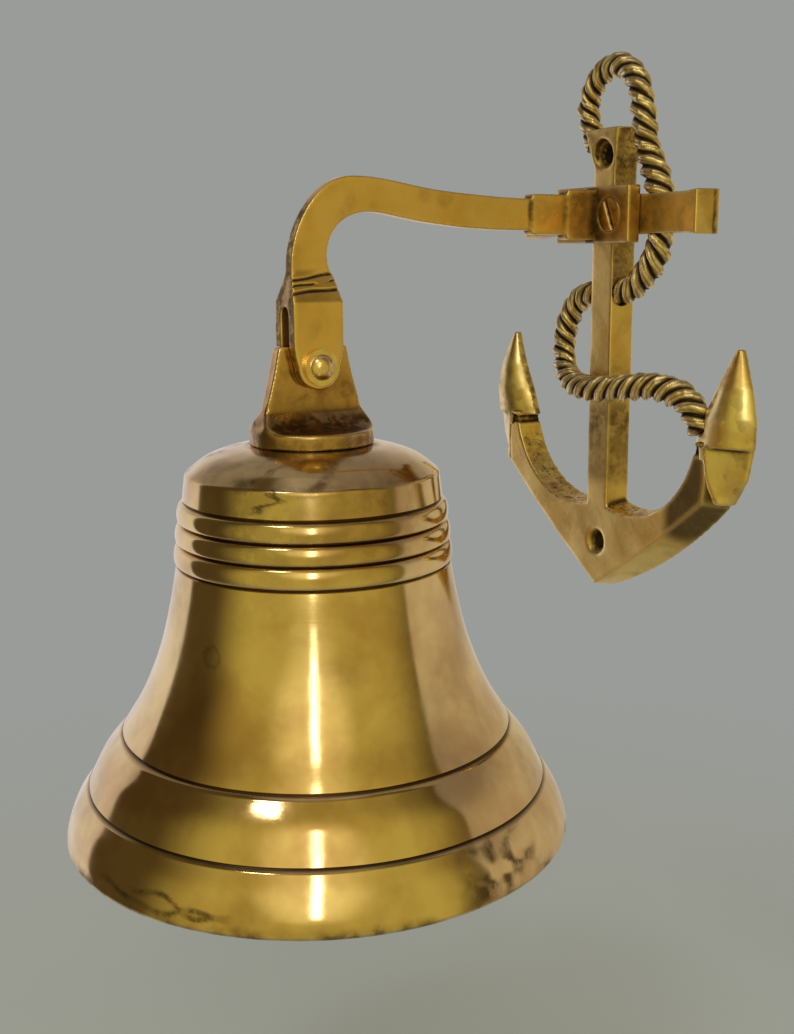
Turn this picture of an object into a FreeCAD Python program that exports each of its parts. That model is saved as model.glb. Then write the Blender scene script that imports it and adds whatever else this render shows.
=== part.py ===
import FreeCAD, Part
import math
import os
import Sketcher

# Ship bell on an anchor wall bracket, in millimetres, +Z up.
# The wall is the plane y = 0 and the bell stands out from it along -Y.
# The origin is midway between the two wall screw holes.

DIMENSIONS = [
    ("hole_spacing", 127.0),
    ("hole_radius", 2.75),
    ("countersink_radius", 4.7),
    ("casting_depth", 9.3),
    ("shank_width", 10.4),
    ("shank_bottom", -64.0),
    ("head_bottom", 59.0),
    ("head_top", 71.5),
    ("head_width", 17.0),
    ("head_depth", 11.2),
    ("crown_tip", -80.0),
    ("arm_end", -24.0),
    ("stock_length", 86.0),
    ("stock_height", 12.2),
    ("stock_end_height", 13.4),
    ("stock_level", 44.4),
    ("palm_inner", 41.6),
    ("palm_outer", 64.6),
    ("palm_crease", -25.0),
    ("palm_depth", 9.4),
    ("palm_edge", 3.4),
    ("palm_inner_edge", 4.4),
    ("palm_back", 2.0),
    ("rope_radius", 4.3),
    ("foot_width", 36.6),
    ("foot_height", 17.8),
    ("foot_thick", 5.0),
    ("root_width", 5.6),
    ("root_height", 15.6),
    ("root_length", 11.4),
    ("socket_width", 5.0),
    ("socket_height", 12.4),
    ("socket_length", 13.4),
    ("bar_width", 4.2),
    ("neck_level", 27.4),
    ("neck_depth", 13.0),
    ("reach", 115.6),
    ("pin_level", 1.0),
    ("fork_width", 12.8),
    ("fork_depth", 16.0),
    ("fork_slot", 5.2),
    ("fork_slot_top", 18.0),
    ("fork_top", 19.0),
    ("fork_round", 6.6),
    ("pin_radius", 3.0),
    ("pin_clearance", 0.05),
    ("pin_head_radius", 3.7),
    ("pin_head_height", 2.7),
    ("washer_radius", 5.2),
    ("washer_thick", 1.3),
    ("nut_flats", 10.0),
    ("nut_height", 5.0),
    ("screw_offset", 8.6),
    ("screw_radius", 3.0),
    ("screw_head_radius", 5.5),
    ("screw_length", 12.0),
    ("slot_width", 1.4),
    ("slot_depth", 1.1),
    ("flange_radius", 18.2),
    ("flange_thick", 4.5),
    ("flange_bottom", -21.5),
    ("plate_thick", 4.6),
    ("plate_top", 7.0),
    ("stud_radius", 4.0),
    ("stud_end", -33.5),
    ("mouth_radius", 76.2),
    ("mouth_level", -138.4),
    ("crown_washer_radius", 11.0),
    ("crown_washer_thick", 1.6),
    ("crown_inside", -26.0),
    ("eye_nut_flats", 14.0),
    ("eye_nut_height", 8.0),
    ("eye_level", -39.8),
    ("eye_radius", 5.2),
    ("eye_hole", 2.5),
    ("eye_thick", 3.2),
    ("ring_radius", 5.0),
    ("ring_wire", 1.3),
    ("ball_radius", 12.5),
    ("ball_level", -122.0),
    ("tail_level", -145.5),
]

# Length of a bore that goes right through a piece.
THROUGH = "60"

V = FreeCAD.Vector
doc = FreeCAD.newDocument("ShipBell")


def make_sheet():
    sheet = doc.addObject("Spreadsheet::Sheet", "Dimensions")
    for row, (alias, value) in enumerate(DIMENSIONS, start=1):
        sheet.set(f"A{row}", alias)
        sheet.set(f"B{row}", str(value))
        sheet.setAlias(f"B{row}", alias)
    doc.recompute()
    return sheet


sheet = make_sheet()


def dim(alias):
    return float(sheet.get(alias))


# ---------------------------------------------------------------- helpers

def new_body(label):
    body = doc.addObject("PartDesign::Body", label)
    body.Label = label
    return body


def place(item, **axes):
    """Binds the placement of an object: place(body, y="-Dimensions.reach")."""
    for axis, expression in axes.items():
        item.setExpression(f"Placement.Base.{axis}", expression)


def new_sketch(body, role, name, **offset):
    """A sketch on an origin plane; x, y and z move it along its own axes."""
    planes = {item.Role: item for item in body.Origin.OriginFeatures}
    sketch = body.newObject("Sketcher::SketchObject", name)
    sketch.AttachmentSupport = [(planes[role], "")]
    sketch.MapMode = "FlatFace"
    for axis, expression in offset.items():
        sketch.setExpression(f"AttachmentOffset.Base.{axis}", expression)
    return sketch


def add_circle(sketch, alias):
    radius = dim(alias)
    edge = sketch.addGeometry(Part.Circle(V(0, 0, 0), V(0, 0, 1), radius))
    sketch.addConstraint(Sketcher.Constraint("Coincident", edge, 3, -1, 1))
    index = sketch.addConstraint(Sketcher.Constraint("Radius", edge, radius))
    sketch.setExpression(f"Constraints[{index}]", f"Dimensions.{alias}")


def add_rectangle(sketch, width, height):
    """A rectangle centred on the sketch origin, its two sizes bound to the sheet."""
    a = dim(width) / 2
    b = dim(height) / 2
    corners = [V(-a, -b, 0), V(a, -b, 0), V(a, b, 0), V(-a, b, 0)]
    for i in range(4):
        sketch.addGeometry(Part.LineSegment(corners[i], corners[(i + 1) % 4]))
    for i in range(4):
        sketch.addConstraint(Sketcher.Constraint("Coincident", i, 2, (i + 1) % 4, 1))
    for i, kind in enumerate(("Horizontal", "Vertical", "Horizontal", "Vertical")):
        sketch.addConstraint(Sketcher.Constraint(kind, i))
    sketch.addConstraint(Sketcher.Constraint("Symmetric", 0, 1, 2, 1, -1, 1))
    index = sketch.addConstraint(Sketcher.Constraint("DistanceX", 0, 1, 0, 2, 2 * a))
    sketch.setExpression(f"Constraints[{index}]", f"Dimensions.{width}")
    index = sketch.addConstraint(Sketcher.Constraint("DistanceY", 1, 1, 1, 2, 2 * b))
    sketch.setExpression(f"Constraints[{index}]", f"Dimensions.{height}")


def add_hexagon(sketch, flats):
    corner = dim(flats) / 2 / math.cos(math.pi / 6)
    points = []
    for i in range(6):
        angle = math.pi / 6 + i * math.pi / 3
        points.append((corner * math.cos(angle), corner * math.sin(angle)))
    add_outline(sketch, points[0], [("line", p) for p in points[1:]])


def add_outline(sketch, start, steps):
    """A closed outline of lines, three-point arcs and smooth curves; a last line closes it."""
    point = start
    ends = []
    for step in list(steps) + [("line", start)]:
        here = V(point[0], point[1], 0)
        points = step[1] if step[0] == "curve" else step[1:]
        rest = [V(p[0], p[1], 0) for p in points]
        point = points[-1]
        if here.distanceToPoint(rest[-1]) < 1e-6:
            continue
        first, last = 1, 2
        if step[0] == "curve":
            curve = Part.BSplineCurve()
            curve.interpolate([here] + rest)
        elif step[0] == "arc":
            # The sketcher keeps every arc counter-clockwise.
            clockwise = (rest[0] - here).cross(rest[1] - rest[0]).z < 0
            if clockwise:
                first, last = 2, 1
                curve = Part.Arc(rest[1], rest[0], here)
            else:
                curve = Part.Arc(here, rest[0], rest[1])
        else:
            curve = Part.LineSegment(here, rest[0])
        ends.append((sketch.addGeometry(curve), first, last))
    for this, following in zip(ends, ends[1:] + ends[:1]):
        sketch.addConstraint(
            Sketcher.Constraint("Coincident", this[0], this[2], following[0], following[1]))


def feature(body, kind, name, sketch, length, symmetric=False, reverse=False):
    """A pad or a pocket of a sketch, its length bound to the sheet."""
    item = body.newObject(f"PartDesign::{kind}", name)
    item.Profile = sketch
    item.Reversed = reverse
    if symmetric:
        item.SideType = "Symmetric"
    item.setExpression("Length", length)


def turned(body, kind, name, sketch, axis):
    """A revolution or a groove of a sketch about one of the sketch's own axes."""
    item = body.newObject(f"PartDesign::{kind}", name)
    item.Profile = sketch
    item.ReferenceAxis = (sketch, [axis])
    item.Angle = 360.0


def lofted(body, name, sketches):
    item = body.newObject("PartDesign::AdditiveLoft", name)
    item.Profile = sketches[0]
    item.Sections = sketches[1:]
    item.Ruled = True


# ---------------------------------------------------------------- anchor

def palm_section(sketch, inner, outer, depth):
    """One level of the upper leaf: flat back, low edges and a domed front."""
    back = min(dim("palm_back"), depth * 0.3)
    outer_edge = min(dim("palm_edge"), depth * 0.8)
    inner_edge = min(dim("palm_inner_edge"), depth * 0.85)
    middle = (inner + outer) / 2
    add_outline(sketch, (inner, -back), [
        ("line", (inner, -inner_edge)),
        ("arc", (middle, -depth), (outer, -outer_edge)),
        ("line", (outer, -back)),
    ])


def barb_section(sketch, inner, ridge, outer, depth):
    """One level of the lower barb: a ridge beside the arm, sloping to a thin outer edge."""
    back = dim("palm_back")
    add_outline(sketch, (inner, -back), [
        ("line", (inner, -depth)),
        ("line", (ridge, -depth)),
        ("line", (outer, -dim("palm_edge"))),
        ("line", (outer, -back)),
    ])


def make_palm(label, side):
    """A spade-shaped palm: a deep upper leaf over the arm's end and a barb down its outer side."""
    inner = dim("palm_inner")
    outer = dim("palm_outer")
    depth = dim("palm_depth")
    crease = dim("palm_crease")
    upper = [
        (crease, inner, outer, depth),
        (crease + 9.0, inner + 3.8, outer, depth + 0.2),
        (crease + 18.0, inner + 8.8, outer - 2.0, depth - 1.8),
        (crease + 29.3, inner + 14.2, outer - 6.6, depth * 0.36),
    ]
    lower = [
        (crease - 17.6, outer - 11.6, outer - 9.6, outer - 6.6, depth - 2.0),
        (crease - 9.0, outer - 15.0, outer - 12.8, outer - 2.0, depth - 0.2),
        (crease, outer - 16.4, outer - 13.6, outer - 0.2, depth + 0.4),
    ]
    body = new_body(label)
    for half, levels, section in (("upper", upper, palm_section), ("lower", lower, barb_section)):
        sketches = []
        for number, (level, *across, thick) in enumerate(levels):
            sketch = new_sketch(body, "XY_Plane", f"{label}_{half}_{number}")
            sketch.AttachmentOffset = FreeCAD.Placement(V(0, 0, level), FreeCAD.Rotation())
            section(sketch, *[side * x for x in across], thick)
            sketches.append(sketch)
        lofted(body, f"{label}_{half}_leaf", sketches)
    return body


def rope_path():
    """The rope's route as straight runs joined by tangent arcs."""
    back = -dim("rope_radius") - 0.15
    front = -dim("casting_depth") - dim("rope_radius") + 0.3
    top = dim("head_top")
    points = [
        (-10.4, back, top - 5.0),
        (-15.0, -4.6, top + 4.0),
        (-13.4, -4.6, top + 14.5),
        (-1.6, -4.6, top + 21.4),
        (9.8, -4.6, top + 15.4),
        (13.0, -4.6, top + 4.5),
        (14.2, back, top - 6.0),
        (20.6, back, 55.0),
        (23.6, back, 43.0),
        (21.0, back, 30.0),
        (10.0, back, 20.4),
        (-4.0, back, 19.6),
        (-16.4, -4.6, 18.8),
        (-23.4, -5.2, 9.0),
        (-22.8, -6.8, -2.4),
        (-14.0, front + 2.4, -10.0),
        (0.0, front - 0.4, -11.8),
        (13.0, front + 1.2, -10.4),
        (25.4, -9.4, -8.6),
        (36.4, -7.6, -9.8),
        (43.6, -6.4, -15.0),
        (46.4, -5.8, -21.6),
    ]
    points = [V(*p) for p in points]
    edges = []
    start = points[0]
    for before, corner, after in zip(points, points[1:], points[2:]):
        into = (corner - before).normalize()
        away = (after - corner).normalize()
        turn = into.getAngle(away)
        cut = 0.42 * min(corner.distanceToPoint(before), corner.distanceToPoint(after))
        first = corner - into * cut
        last = corner + away * cut
        radius = cut / math.tan(turn / 2)
        bisector = (away - into).normalize()
        centre = corner + bisector * (radius / math.cos(turn / 2))
        middle = centre - bisector * radius
        edges.append(Part.LineSegment(start, first).toShape())
        edges.append(Part.Arc(first, middle, last).toShape())
        start = last
    edges.append(Part.LineSegment(start, points[-1]).toShape())
    return Part.Wire(edges), points


def make_rope():
    """The cast rope as one round bar along its route, with rounded ends."""
    path, points = rope_path()
    radius = dim("rope_radius")
    direction = points[1] - points[0]
    section = Part.Wire([Part.Circle(points[0], direction, radius).toShape()])
    shell = Part.BRepOffsetAPI.MakePipeShell(path)
    shell.setFrenetMode(False)
    shell.add(section)
    shell.build()
    shell.makeSolid()
    rope = doc.addObject("Part::Feature", "rope_bar")
    rope.Shape = shell.shape()
    return rope


def wall_hole(body, name, level, depth):
    """A countersunk hole for a wall screw, turned about its own axis."""
    sketch = new_sketch(body, "YZ_Plane", name, y=level)
    hole = dim("hole_radius")
    sink = dim("countersink_radius")
    face = -dim(depth) - 0.6
    cone = face + 0.6 + sink - hole
    add_outline(sketch, (1.0, 0.0), [
        ("line", (1.0, hole)),
        ("line", (cone, hole)),
        ("line", (face + 0.6, sink)),
        ("line", (face - 3.0, sink)),
        ("line", (face - 3.0, 0.0)),
    ])
    turned(body, "Groove", f"{name}_groove", sketch, "H_Axis")


def make_anchor_body():
    body = new_body("anchor_blank")
    half = dim("shank_width") / 2
    low = dim("shank_bottom")
    high = dim("head_bottom") + 0.5
    shank = new_sketch(body, "XZ_Plane", "shank_outline")
    add_outline(shank, (-half, low), [
        ("line", (half, low)),
        ("line", (half, high)),
        ("line", (-half, high)),
    ])
    feature(body, "Pad", "shank", shank, "Dimensions.casting_depth")

    # The arms taper from a broad back to a narrower front.
    tip = dim("crown_tip")
    end = dim("arm_end")
    faces = [
        ("arms_back", 0.0, tip, (27.0, -66.0), (53.4, -44.4), (56.4, -36.0), (53.6, end),
         (45.4, end), (34.5, -43.2), -49.4),
        ("arms_front", dim("casting_depth"), tip + 1.6, (25.6, -61.2), (50.0, -42.6), (50.8, -35.6),
         (50.0, end), (46.4, end), (34.5, -45.0), -50.8),
    ]
    sketches = []
    for name, depth, bottom, bulge, heel, outside, tip_out, tip_in, hollow, throat in faces:
        sketch = new_sketch(body, "XZ_Plane", name)
        sketch.AttachmentOffset = FreeCAD.Placement(V(0, 0, depth), FreeCAD.Rotation())
        add_outline(sketch, (0.0, bottom), [
            ("arc", bulge, heel),
            ("line", outside),
            ("line", tip_out),
            ("line", tip_in),
            ("arc", hollow, (half, throat)),
            ("line", (-half, throat)),
            ("arc", (-hollow[0], hollow[1]), (-tip_in[0], tip_in[1])),
            ("line", (-tip_out[0], tip_out[1])),
            ("line", (-outside[0], outside[1])),
            ("line", (-heel[0], heel[1])),
            ("arc", (-bulge[0], bulge[1]), (0.0, bottom)),
        ])
        sketches.append(sketch)
    lofted(body, "arms", sketches)

    # The head widens and thickens towards its flat top.
    neck = new_sketch(body, "XY_Plane", "head_low", z="Dimensions.head_bottom")
    add_outline(neck, (-half, 0.0), [
        ("line", (-half, -dim("casting_depth"))),
        ("line", (half, -dim("casting_depth"))),
        ("line", (half, 0.0)),
    ])
    top = new_sketch(body, "XY_Plane", "head_high", z="Dimensions.head_top")
    wide = dim("head_width") / 2
    add_outline(top, (-wide, 0.0), [
        ("line", (-wide, -dim("head_depth"))),
        ("line", (wide, -dim("head_depth"))),
        ("line", (wide, 0.0)),
    ])
    lofted(body, "head", [neck, top])

    wall_hole(body, "upper_hole", "Dimensions.hole_spacing / 2", "casting_depth")
    wall_hole(body, "lower_hole", "-Dimensions.hole_spacing / 2", "casting_depth")
    return body


def make_stock_body():
    """The crossbar, square in section, with slightly raised ends."""
    body = new_body("stock_blank")
    level = dim("stock_level")
    half = dim("stock_length") / 2
    low = dim("stock_height") / 2
    tall = dim("stock_end_height") / 2
    flare = half - 5.0
    sketch = new_sketch(body, "XZ_Plane", "stock_outline")
    points = [
        (-half, level - tall),
        (-flare, level - low),
        (flare, level - low),
        (half, level - tall),
        (half, level + tall),
        (flare, level + low),
        (-flare, level + low),
        (-half, level + tall),
    ]
    add_outline(sketch, points[0], [("line", p) for p in points[1:]])
    feature(body, "Pad", "stock_bar_pad", sketch, "Dimensions.casting_depth")
    # The stock is halved over the shank, and its back half is cut away there.
    lap = new_sketch(body, "XZ_Plane", "lap_outline", y="Dimensions.stock_level")
    add_rectangle(lap, "shank_width", "foot_height")
    feature(body, "Pocket", "lap", lap, "Dimensions.casting_depth / 2", reverse=True)
    threads = [("right_thread", ""), ("left_thread", "-")]
    for name, sign in threads:
        hole = new_sketch(body, "XZ_Plane", name, x=f"{sign}Dimensions.screw_offset",
                          y="Dimensions.stock_level", z="Dimensions.casting_depth")
        add_circle(hole, "screw_radius")
        feature(body, "Pocket", f"{name}_pocket", hole, "Dimensions.casting_depth - 1.8")
    return body


def cut(label, base, tools):
    """A named piece: the base with one or more other solids taken out of it."""
    tool = tools[0]
    for number, other in enumerate(tools[1:]):
        both = doc.addObject("Part::Fuse", f"{label}_tools_{number}")
        both.Base = tool
        both.Tool = other
        tool = both
    item = doc.addObject("Part::Cut", label)
    item.Label = label
    item.Base = base
    item.Tool = tool
    return item


# ---------------------------------------------------------------- arm

def make_arm():
    """Foot plate, stepped root, bar, swan neck and fork in one casting."""
    body = new_body("arm_casting")
    depth = dim("casting_depth")
    level = dim("stock_level")
    reach = dim("reach")
    pin = dim("pin_level")
    foot_front = depth + dim("foot_thick")
    root_front = foot_front + dim("root_length")
    socket_front = root_front + dim("socket_length")

    foot = new_sketch(body, "XZ_Plane", "foot_outline",
                      y="Dimensions.stock_level", z="Dimensions.casting_depth")
    add_rectangle(foot, "foot_width", "foot_height")
    feature(body, "Pad", "foot", foot, "Dimensions.foot_thick")

    steps = [
        ("root", foot_front - 1.0, root_front, "root_height", "root_width"),
        ("socket", root_front - 1.0, socket_front, "socket_height", "socket_width"),
    ]
    for name, back, front, tall, wide in steps:
        half = dim(tall) / 2
        sketch = new_sketch(body, "YZ_Plane", f"{name}_outline")
        add_outline(sketch, (-back, level - half), [
            ("line", (-front, level - half)),
            ("line", (-front, level + half)),
            ("line", (-back, level + half)),
        ])
        feature(body, "Pad", name, sketch, f"Dimensions.{wide}", symmetric=True)

    bar = new_sketch(body, "YZ_Plane", "bar_outline")
    outer = -reach - 6.4
    inner = outer + dim("neck_depth")
    bar_end = dim("neck_level") - 0.9
    add_outline(bar, (-socket_front + 1.0, level + 4.8), [
        ("curve", [(-60.0, 50.0), (-79.0, 51.9), (-98.0, 54.6), (-107.6, 53.4),
                   (-115.6, 46.8), (-120.4, 38.0), (outer, bar_end)]),
        ("line", (inner, bar_end)),
        ("curve", [(inner - 1.4, 33.6), (-106.8, 40.8), (-98.6, 44.4), (-88.0, 43.4),
                   (-74.0, 41.2), (-60.0, 40.0), (-socket_front + 1.0, level - 4.9)]),
    ])
    feature(body, "Pad", "bar", bar, "Dimensions.bar_width", symmetric=True)

    # The neck spreads sideways into the fork.
    neck = new_sketch(body, "XY_Plane", "neck_section", z="Dimensions.neck_level")
    thin = dim("bar_width") / 2
    add_outline(neck, (-thin, outer), [
        ("line", (thin, outer)),
        ("line", (thin, inner)),
        ("line", (-thin, inner)),
    ])
    joggle = new_sketch(body, "XY_Plane", "fork_section", z="Dimensions.fork_top")
    wide = dim("fork_width") / 2
    cheek = dim("fork_depth") / 2
    add_outline(joggle, (-wide, -reach - cheek), [
        ("line", (wide, -reach - cheek)),
        ("line", (wide, -reach + cheek)),
        ("line", (-wide, -reach + cheek)),
    ])
    lofted(body, "fork_shoulder", [neck, joggle])

    fork = new_sketch(body, "YZ_Plane", "fork_outline")
    top = dim("fork_top")
    nose = dim("fork_round")
    add_outline(fork, (-reach - cheek, top + 0.2), [
        ("line", (-reach - cheek, pin + 6.5)),
        ("arc", (-reach - 7.6, pin + 3.4), (-reach - nose, pin)),
        ("arc", (-reach, pin - nose), (-reach + nose, pin)),
        ("arc", (-reach + 7.6, pin + 3.4), (-reach + cheek, pin + 6.5)),
        ("line", (-reach + cheek, top + 0.2)),
    ])
    feature(body, "Pad", "fork", fork, "Dimensions.fork_width", symmetric=True)

    slot = new_sketch(body, "XZ_Plane", "slot_outline")
    gap = dim("fork_slot") / 2
    crest = dim("fork_slot_top")
    add_outline(slot, (-gap, pin - 12.0), [
        ("line", (gap, pin - 12.0)),
        ("line", (gap, crest - gap)),
        ("arc", (0.0, crest), (-gap, crest - gap)),
    ])
    slot.setExpression("AttachmentOffset.Base.z", "Dimensions.reach - Dimensions.fork_depth")
    feature(body, "Pocket", "slot", slot, "2 * Dimensions.fork_depth", reverse=True)

    bore = new_sketch(body, "YZ_Plane", "pin_bore", x="-Dimensions.reach", y="Dimensions.pin_level")
    add_circle(bore, "pin_radius")
    feature(body, "Pocket", "bore", bore, THROUGH, symmetric=True)

    sink = dim("screw_head_radius")
    shaft = dim("screw_radius") + 0.2
    for name, sign in (("right_screw_hole", 1), ("left_screw_hole", -1)):
        hole = new_sketch(body, "YZ_Plane", name, y="Dimensions.stock_level",
                          z=f"{sign} * Dimensions.screw_offset")
        add_outline(hole, (-depth + 1.0, 0.0), [
            ("line", (-depth + 1.0, shaft)),
            ("line", (-foot_front + sink - shaft, shaft)),
            ("line", (-foot_front, sink)),
            ("line", (-foot_front - 1.0, sink)),
            ("line", (-foot_front - 1.0, 0.0)),
        ])
        turned(body, "Groove", f"{name}_groove", hole, "H_Axis")
    return body


def make_foot_screws():
    """Two slotted countersunk screws as one node of two solids."""
    front = dim("casting_depth") + dim("foot_thick")
    shaft = dim("screw_radius")
    head = dim("screw_head_radius") - 0.1
    end = front - dim("screw_length")
    screws = []
    for sign, name in ((1, "right_screw"), (-1, "left_screw")):
        body = new_body(name)
        sketch = new_sketch(body, "YZ_Plane", f"{name}_profile")
        add_outline(sketch, (-end, 0.0), [
            ("line", (-end, shaft)),
            ("line", (-front + head - shaft + 0.1, shaft)),
            ("line", (-front + 0.1, head)),
            ("line", (-front + 0.1, 0.0)),
        ])
        turned(body, "Revolution", f"{name}_turned", sketch, "H_Axis")
        slot = new_sketch(body, "XZ_Plane", f"{name}_slot")
        long_side = dim("screw_head_radius") + 1.0
        half = dim("slot_width") / 2
        add_outline(slot, (-long_side, -half), [
            ("line", (long_side, -half)),
            ("line", (long_side, half)),
            ("line", (-long_side, half)),
        ])
        slot.setExpression("AttachmentOffset.Base.z",
                           "Dimensions.casting_depth + Dimensions.foot_thick")
        feature(body, "Pocket", f"{name}_slot_cut", slot, "Dimensions.slot_depth")
        place(body, x=f"{sign} * Dimensions.screw_offset", z="Dimensions.stock_level")
        screws.append(body)
    group = doc.addObject("Part::Compound", "foot_screws")
    group.Label = "foot_screws"
    group.Links = screws
    return group


# ---------------------------------------------------------------- pivot

def at_pin(body):
    place(body, y="-Dimensions.reach", z="Dimensions.pin_level")


def make_pivot_bolt():
    """A round bar through the fork with a low domed head on the right."""
    body = new_body("pivot_bolt")
    radius = dim("pin_radius")
    head = dim("pin_head_radius")
    seat = dim("fork_width") / 2 + dim("washer_thick")
    end = -seat - dim("nut_height") - 1.0
    height = dim("pin_head_height")
    crest = seat + height
    sketch = new_sketch(body, "XZ_Plane", "bolt_profile")
    add_outline(sketch, (end, 0.0), [
        ("line", (end, radius - 0.6)),
        ("line", (end + 0.6, radius)),
        ("line", (seat, radius)),
        ("line", (seat, head)),
        ("line", (seat + height * 0.2, head)),
        ("arc", (seat + height * 0.78, head * 0.64), (crest, 0.0)),
    ])
    turned(body, "Revolution", "bolt_turned", sketch, "H_Axis")
    at_pin(body)
    return body


def make_pivot_washers():
    """One washer each side of the fork, as one node of two solids."""
    washers = []
    for sign, name in ((1, "right_washer"), (-1, "left_washer")):
        body = new_body(name)
        sketch = new_sketch(body, "YZ_Plane", f"{name}_face", z=f"{sign} * Dimensions.fork_width / 2")
        add_circle(sketch, "washer_radius")
        add_circle(sketch, "pin_radius")
        feature(body, "Pad", f"{name}_pad", sketch, "Dimensions.washer_thick", reverse=sign < 0)
        at_pin(body)
        washers.append(body)
    group = doc.addObject("Part::Compound", "pivot_washers")
    group.Label = "pivot_washers"
    group.Links = washers
    return group


def make_pivot_nut():
    body = new_body("pivot_nut")
    sketch = new_sketch(body, "YZ_Plane", "nut_outline",
                        z="-(Dimensions.fork_width / 2 + Dimensions.washer_thick)")
    add_hexagon(sketch, "nut_flats")
    feature(body, "Pad", "nut_pad", sketch, "Dimensions.nut_height", reverse=True)
    bore = new_sketch(body, "YZ_Plane", "nut_bore")
    add_circle(bore, "pin_radius")
    feature(body, "Pocket", "nut_bore_cut", bore, THROUGH, symmetric=True)
    at_pin(body)
    return body


# ---------------------------------------------------------------- bell

def make_lug():
    """Round flange, eye plate with flared foot, and the stud below."""
    body = new_body("lug")
    bottom = dim("flange_bottom")
    top = bottom + dim("flange_thick")
    disc = new_sketch(body, "XY_Plane", "flange_outline", z="Dimensions.flange_bottom")
    add_circle(disc, "flange_radius")
    feature(body, "Pad", "flange", disc, "Dimensions.flange_thick")

    half = dim("plate_thick") / 2
    sections = []
    for number, (level, wide, long) in enumerate([(top - 0.2, 9.6, 18.0), (top + 1.6, 5.6, 17.2),
                                                  (top + 5.4, half, 15.6)]):
        sketch = new_sketch(body, "XY_Plane", f"flare_{number}")
        sketch.AttachmentOffset = FreeCAD.Placement(V(0, 0, level), FreeCAD.Rotation())
        add_outline(sketch, (-wide, -long), [
            ("line", (wide, -long)),
            ("line", (wide, long)),
            ("line", (-wide, long)),
        ])
        sections.append(sketch)
    lofted(body, "flare", sections)
    rim = new_sketch(body, "XY_Plane", "rim_outline", z="Dimensions.flange_bottom")
    add_circle(rim, "flange_radius")
    rim.addGeometry(Part.Circle(V(0, 0, 0), V(0, 0, 1), 2 * dim("flange_radius")))
    feature(body, "Pocket", "rim_trim", rim, "3 * Dimensions.flange_thick", reverse=True)

    crest = dim("plate_top")
    plate = new_sketch(body, "YZ_Plane", "plate_outline")
    add_outline(plate, (-15.6, top + 5.2), [
        ("line", (15.6, top + 5.2)),
        ("curve", [(13.4, -4.6), (11.2, crest - 2.0)]),
        ("arc", (10.6, crest - 0.6), (9.2, crest)),
        ("line", (-9.2, crest)),
        ("arc", (-10.6, crest - 0.6), (-11.2, crest - 2.0)),
        ("curve", [(-13.4, -4.6), (-15.6, top + 5.2)]),
    ])
    feature(body, "Pad", "plate", plate, "Dimensions.plate_thick", symmetric=True)

    stud = new_sketch(body, "XY_Plane", "stud_outline", z="Dimensions.flange_bottom + 1")
    add_circle(stud, "stud_radius")
    feature(body, "Pad", "stud", stud, "Dimensions.flange_bottom + 1 - Dimensions.stud_end", reverse=True)

    bore = new_sketch(body, "YZ_Plane", "lug_bore", y="Dimensions.pin_level")
    radius = dim("pin_radius") + dim("pin_clearance")
    circle = bore.addGeometry(Part.Circle(V(0, 0, 0), V(0, 0, 1), radius))
    bore.addConstraint(Sketcher.Constraint("Coincident", circle, 3, -1, 1))
    index = bore.addConstraint(Sketcher.Constraint("Radius", circle, radius))
    bore.setExpression(f"Constraints[{index}]", "Dimensions.pin_radius + Dimensions.pin_clearance")
    feature(body, "Pocket", "lug_bore_cut", bore, THROUGH, symmetric=True)
    place(body, y="-Dimensions.reach")
    return body


def make_bell():
    """The shell: one turned profile, thick at the lip, with lines and three beads."""
    body = new_body("bell_shell")
    mouth = dim("mouth_radius")
    rim = dim("mouth_level")
    bore = dim("stud_radius") + 0.2
    crown = dim("flange_bottom")
    inside = dim("crown_inside")
    groove = 0.5
    profile = [
        ("line", (dim("flange_radius") - 1.0, crown)),
        ("curve", [(24.0, -22.6), (31.6, -25.3), (36.7, -29.1)]),
        ("line", (37.4, -29.9)),
        ("line", (38.3, -37.1)),
        ("line", (38.3 - groove, -37.5)),
    ]
    # Three half-round beads above the waist, each ending in a fine line.
    beads = [(-37.5, -43.6, 38.7, 39.8), (-43.6, -49.6, 39.4, 40.5), (-49.6, -56.0, 40.0, 41.1)]
    for start, end, root, crest in beads:
        profile.append(("line", (root - groove * 0.4, start - 0.3)))
        profile.append(("arc", (crest, (start + end) / 2), (root + 0.4, end + 0.3)))
        profile.append(("line", (root - groove * 0.2, end)))
    profile += [
        ("line", (40.7, -56.5)),
        ("curve", [(42.6, -66.6), (46.2, -81.0), (52.2, -95.6), (58.6, -106.1)]),
        ("line", (58.5, -106.7)),
        ("line", (59.4, -107.0)),
        ("curve", [(64.6, -113.4), (69.0, -121.6)]),
        ("line", (68.9, -122.2)),
        ("line", (69.8, -122.5)),
        ("curve", [(73.0, -127.6), (75.3, -133.2), (mouth, rim + 1.4)]),
        ("arc", (mouth - 1.0, rim + 0.2), (mouth - 2.2, rim)),
        ("line", (mouth - 5.0, rim)),
        ("curve", [(66.4, -129.6), (61.0, -120.6), (53.6, -107.6), (47.6, -95.4), (42.0, -81.0),
                   (38.6, -66.6), (36.6, -54.0), (35.0, -40.0)]),
        ("curve", [(33.4, -32.4), (29.4, -28.2), (20.0, inside)]),
        ("line", (bore, inside)),
    ]
    sketch = new_sketch(body, "XZ_Plane", "bell_profile")
    add_outline(sketch, (bore, crown), profile)
    turned(body, "Revolution", "bell_turned", sketch, "V_Axis")
    place(body, y="-Dimensions.reach")
    return body


def make_crown_washer():
    body = new_body("crown_washer")
    sketch = new_sketch(body, "XY_Plane", "crown_washer_face", z="Dimensions.crown_inside")
    add_circle(sketch, "crown_washer_radius")
    add_circle(sketch, "stud_radius")
    feature(body, "Pad", "crown_washer_pad", sketch, "Dimensions.crown_washer_thick", reverse=True)
    place(body, y="-Dimensions.reach")
    return body


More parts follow.
